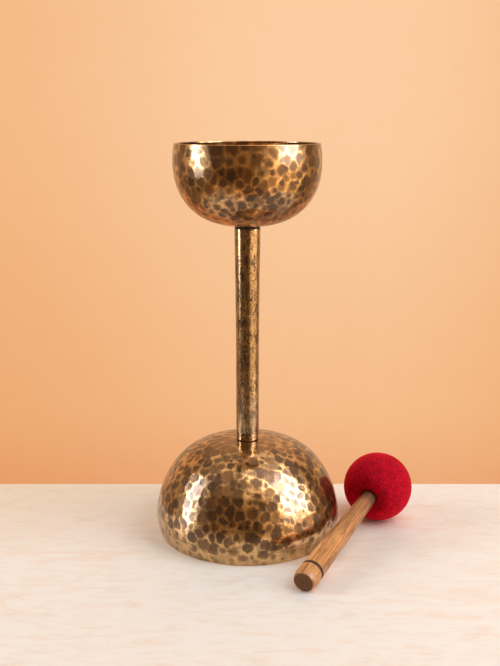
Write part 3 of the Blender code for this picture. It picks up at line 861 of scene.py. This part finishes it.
def feltTree():
    # Lumps of packed wool over the ball
    tree, given = newTree("packedWool", {
        "Lumps": 0.35, "Lump scale": 110.0, "Fluff": 0.14, "Fluff scale": 620.0, "Seed": 3,
    })
    lumps = times(tree, seededNoise(tree, given, "Lump scale", 2.0), given["Lumps"])
    fluff = times(tree, seededNoise(tree, given, "Fluff scale", 2.0), given["Fluff"])
    outer = pointValue(tree, "outerFelt")
    pressInward(tree, given, times(tree, calc(tree, "ADD", lumps, fluff), outer))
    return tree


def makeFelt():
    ball, hole, room, steps = mallet["ball"], mallet["hole"], mallet["room"], mallet["steps"]
    turns = np.linspace(math.pi / 2, -math.acos((hole + 0.8) / ball), 150)[1:]
    outline = [(0, ball)]
    for t in turns:       # the wool is drawn in where the handle enters
        out, up = ball * math.cos(t), ball * math.sin(t)
        dimple = mallet["dimpleDepth"] * math.exp(-(out / mallet["dimpleWidth"]) ** 2) if t < 0 else 0
        outline.append((out, up + dimple))
    outline += [(hole + 0.25, outline[-1][1] + 0.5), (hole, outline[-1][1] + 1.4)]
    turnsIn = np.linspace(-math.acos(hole / room), math.pi / 2, 20)[:-1]
    outline += [(room * math.cos(t), room * math.sin(t)) for t in turnsIn] + [(0, room)]
    mesh = turned("feltBall", outline, steps)
    outer = np.arange(len(mesh.vertices)) < 1 + steps * (len(turns) - 1)
    keepValues(mesh, "outerFelt", outer)
    mesh.transform(malletPlace)
    mesh.shade_smooth()
    piece = newPiece("feltBall", mesh)
    runTree(piece, feltTree(), {"Lumps": mallet["lumps"], "Finish": redFelt()})
    points = meshPoints(piece.data)
    points[:, 2] = np.maximum(points[:, 2], 0.00005)       # the wool gives where it rests on the table
    setPoints(piece.data, points)
    shade(piece.data, 60)
    finishPiece(piece, "mallet", "red_felt", "mallet_felt")


def makeHandle():
    # Listed from the tenon's end, inside the ball, to the butt
    reach, end, butt, taper = mallet["reach"], mallet["end"], mallet["butt"], mallet["taperStart"]
    tenon, tenonEnd, shoulder, edge = (mallet[key] for key in ("tenon", "tenonEnd", "shoulder", "tenonEdge"))
    faceRadius, rounding = mallet["faceRadius"], mallet["rounding"]
    groove, half = reach - mallet["knob"], mallet["grooveWidth"] / 2
    outline = [(0, tenonEnd), (tenon - edge, tenonEnd), (tenon, tenonEnd - edge), (tenon, -shoulder)]
    outline += [(end - 0.3, -shoulder), (end, -shoulder - 0.3)]
    for z in np.linspace(taper - 10, groove - half - 0.4, 100):
        share = min(max((z - taper) / (groove - taper), 0), 1)
        outline.append((end + (butt - end) * share, -z))
    for t in np.linspace(0, math.pi, 15):     # the groove is a round-bottomed cut
        depth = mallet["grooveDepth"] * math.sin(t) ** 0.5 + 0.08
        outline.append((butt - depth, -(groove - half * math.cos(t))))
    for t in np.linspace(0.12, math.pi / 2, 22):
        wide = faceRadius + (mallet["knobRadius"] - faceRadius) * math.cos(t)
        outline.append((wide, -(reach + rounding * (math.sin(t) - 1))))
    outline += [(radius, -reach) for radius in (7.0, 5.0, 3.0, 1.6)]
    outline += [(mallet["dimple"], -reach + 0.2), (0.7, -reach + 1.2), (0, -reach + 1.8)]
    mesh = turned("turnedHandle", outline, mallet["handleSteps"])
    keepValues(mesh, "turnedPoint", meshPoints(mesh))
    wearUnevenly(mesh, mallet["unevenness"], mallet["wearPace"], flatten=0.15, within=4)
    mesh.transform(malletPlace)
    shade(mesh, 32)
    mesh.materials.append(oiledWood(groove))
    finishPiece(newPiece("turnedHandle", mesh), "mallet", "oiled_wood", "mallet_handle")


makeFelt()
makeHandle()
paintNode("mallet_core", paleWood())
print("mallet ready")


# Table, backdrop, lamps and camera

studio = {
    "tableBack": 0.1425, "tableHalf": 0.42, "tableFront": -0.3, "tableThick": 0.024, "tableEdge": 0.004,
    "tableColour": srgb(250, 242, 233), "tablePaintedWallLight": srgb(252, 234, 212),
    "wallTop": srgb(252, 205, 161), "wallLow": srgb(244, 186, 134), "wallLeftShade": srgb(249, 240, 230),
    "wallSideShade": srgb(247, 231, 213), "wallFootShade": srgb(246, 226, 222),
    "wallInMetal": (0.85, 0.85, 0.85, 1.0),
    "roomDark": srgb(142, 108, 70), "roomLight": srgb(162, 128, 88), "roomShade": srgb(112, 82, 50),
    "roomFloor": srgb(216, 168, 114), "sideRoom": srgb(170, 132, 95), "rightRoom": (1.5, 1.06, 0.64, 1.0),
    "ceiling": srgb(252, 226, 198), "ceilingRight": (1.35, 1.08, 0.84, 1.0),
    "fillAbove": 0.03, "fillBelow": 0.01, "fillBehind": 1.4,
    "plainFill": (0.97, 0.96, 0.95, 1.0), "wallGlow": (1.0, 0.53, 0.25, 1.0),
    "aimHeight": 0.2, "viewpoint": (-0.0359, -0.8725, 0.4046), "tilt": 12.859, "sensor": 36.0, "lens": 51.9,
}
panels = {      # turned round the bowls from the front, in degrees
    "left": {"turn": -83, "away": 2.0, "rise": 0.77, "wide": 0.62, "tall": 1.88, "roll": 18,
        "glow": 9.0, "tint": (0.92, 0.97, 1.0)},
    "leftCore": {"turn": -83, "away": 1.98, "rise": 0.82, "wide": 0.44, "tall": 1.6, "roll": 18,
        "glow": 5.6, "tint": (0.34, 0.62, 1.0)},
    "right": {"turn": 69, "away": 1.8, "rise": 1.25, "wide": 1.55, "tall": 2.3, "roll": -3,
        "glow": 3.15, "tint": (1.0, 1.0, 1.0)},
    "rightCore": {"turn": 68, "away": 1.76, "rise": 1.28, "wide": 1.1, "tall": 1.9, "roll": -3,
        "glow": 8.0, "tint": (0.6, 0.77, 1.0)},
    "above": {"turn": 75, "away": 0.55, "rise": 1.7, "wide": 1.5, "tall": 1.3, "roll": 0,
        "glow": 1.3, "tint": (1.0, 1.0, 1.0)},
}


def creamTable():
    # Faint long veins, and painted warm light from the wall behind, stronger towards the back and the left
    look, tree, shader = newFinish("creamTable")
    place = objectPlace(tree)
    veins = cloud(tree, stretched(tree, place, (0.3, 1.0, 1.0), turn=(0, 0, 0.12)), 60, 5.0, 0.62, 1.0)
    fine = cloud(tree, stretched(tree, place, (0.25, 1.0, 1.0), turn=(0, 0, 0.2)), 150, 4.0, 0.6, 0.8)
    soft = cloud(tree, place, 9, 2.0, 0.5)
    x, y = addNode(tree, "ShaderNodeSeparateXYZ", {0: place}).outputs[:2]
    # painted light: the wall's warm glow laid over the table's colour, stronger towards the back and the left
    colour = tinted(tree, studio["tableColour"], studio["tablePaintedWallLight"], scaled(tree, x, -0.5, y), 0.06, 0.26)
    colour = tinted(tree, colour, srgb(240, 208, 178), veins, 0.5, 0.74, 0.4)
    colour = tinted(tree, colour, srgb(242, 215, 190), fine, 0.44, 0.7, 0.4)
    colour = tinted(tree, colour, srgb(250, 238, 230), soft, 0.3, 0.7, 0.15)
    dress(shader, tree, Base_Color=colour, Roughness=0.5, Specular_IOR_Level=0.3)
    return look


def makeTable():
    # A table top with a rounded back edge
    back, front, thick, edge = (studio[key] for key in ("tableBack", "tableFront", "tableThick", "tableEdge"))
    section = [(front, 0.0)] + corner((back - edge, -edge), edge, 90, 0, 6)
    section += [(back, -thick), (front, -thick)]
    half, count = studio["tableHalf"], len(section)
    points = [(x, y, z) for x in (-half, half) for y, z in section]
    faces = [(j, (j + 1) % count, count + (j + 1) % count, count + j) for j in range(count)]
    faces += [tuple(range(count))[::-1], tuple(range(count, 2 * count))]
    mesh = newMesh("tableTop", points, faces)
    mesh.materials.append(creamTable())
    newPiece("tableTop", mesh)


def makeWorld():
    # The camera sees a peach wall, painted lighter towards the top, with painted shade at its foot and sides.
    # The metal sees that wall and a dim room before it. The fill is plain.
    world = bpy.data.worlds.new("studio")
    bpy.context.scene.world = world
    world.use_nodes = True
    tree = world.node_tree
    tree.nodes.clear()
    direction = addNode(tree, "ShaderNodeTexCoord").outputs["Generated"]
    across, ahead, up = addNode(tree, "ShaderNodeSeparateXYZ", {0: direction}).outputs
    behind = ramp(tree, ahead, 0.35, 0.75)

    def shaded(colour, key):
        return blendColour(tree, 1.0, colour, studio[key], "MULTIPLY")

    # painted light and shade on the backdrop: lighter towards the top, darker at its foot by the table and at
    # both sides
    wall = tinted(tree, studio["wallLow"], studio["wallTop"], up, -0.4, 0.04)
    wall = tinted(tree, wall, shaded(wall, "wallFootShade"), up, -0.28, -0.42)
    aside = calc(tree, "MAXIMUM", ramp(tree, across, 0.06, -0.3), ramp(tree, across, 0.12, 0.4))
    grain = less(tree, cloud(tree, direction, 45, 4.0, 0.7), 0.45)
    backdrop = blendColour(tree, scaled(tree, grain, 0.25, aside), wall, shaded(wall, "wallSideShade"))
    # the wall as the metal sees it, with painted shade towards the left
    wall = tinted(tree, wall, shaded(wall, "wallLeftShade"), across, 0.2, -0.2)

    room = tinted(tree, studio["roomDark"], studio["roomLight"], up, 0.0, 0.8)
    room = tinted(tree, room, studio["roomShade"], up, -0.08, -0.16)
    room = tinted(tree, room, studio["roomFloor"], up, -0.3, -0.5)
    room = tinted(tree, room, studio["sideRoom"], ahead, -0.6, 0.1)
    toRight = times(tree, ramp(tree, across, 0.2, 0.65), ramp(tree, ahead, 0.25, 0.0))
    room = blendColour(tree, toRight, room, studio["rightRoom"])
    inMetal = blendColour(tree, behind, room, shaded(wall, "wallInMetal"))
    ceiling = tinted(tree, studio["ceiling"], studio["ceilingRight"], across, -0.1, 0.2)
    inMetal = tinted(tree, inMetal, ceiling, up, 0.55, 0.85)

    path = addNode(tree, "ShaderNodeLightPath").outputs
    shiny = calc(tree, "MAXIMUM", path["Is Glossy Ray"], path["Is Transmission Ray"])
    colour = blendColour(tree, behind, studio["plainFill"], studio["wallGlow"])
    colour = blendColour(tree, shiny, colour, inMetal)
    colour = blendColour(tree, path["Is Camera Ray"], colour, backdrop)
    fill = ramp(tree, up, -0.4, 0.9, studio["fillBelow"], studio["fillAbove"])
    fill = scaled(tree, behind, studio["fillBehind"], fill)      # light that the wall behind gives back
    seen = calc(tree, "MAXIMUM", shiny, path["Is Camera Ray"])
    strength = ramp(tree, seen, 0.0, 1.0, fill, 1.0, "LINEAR")
    ground = addNode(tree, "ShaderNodeBackground", {"Color": colour, "Strength": strength})
    addNode(tree, "ShaderNodeOutputWorld", {"Surface": ground.outputs[0]})


def makeLamp(name, lamp):
    # A soft panel turned round the bowls' axis and aimed at them
    turn, away = math.radians(lamp["turn"]), lamp["away"]
    aim = Vector((bowlAxis.x * mm, bowlAxis.y * mm, studio["aimHeight"]))
    rise = lamp["rise"] - studio["aimHeight"]
    centre = aim + Vector((away * math.sin(turn), -away * math.cos(turn), rise))
    light = bpy.data.lights.new(name, "AREA")
    light.shape = "RECTANGLE"
    light.size, light.size_y = lamp["wide"], lamp["tall"]
    light.energy = lamp["glow"] * math.pi * lamp["wide"] * lamp["tall"]
    light.color = lamp["tint"]
    item = newPiece(name, light)
    item.location = centre
    facing = (aim - centre).to_track_quat("-Z", "Y") @ Quaternion((0, 0, 1), math.radians(lamp["roll"]))
    item.rotation_euler = facing.to_euler()
    item.visible_camera = False
    item.visible_diffuse = "Core" not in name       # a panel's bright middle is for the gloss only


def makeCamera():
    view = bpy.data.cameras.new("viewpoint")
    view.sensor_width, view.lens = studio["sensor"], studio["lens"]
    item = newPiece("viewpoint", view)
    item.location = studio["viewpoint"]
    item.rotation_euler = (math.radians(90 - studio["tilt"]), 0, 0)
    bpy.context.scene.camera = item


makeTable()
makeWorld()
for name, lamp in panels.items():
    makeLamp(name + "Panel", lamp)
makeCamera()
bpy.context.scene.view_settings.view_transform = "Standard"
print("studio ready")
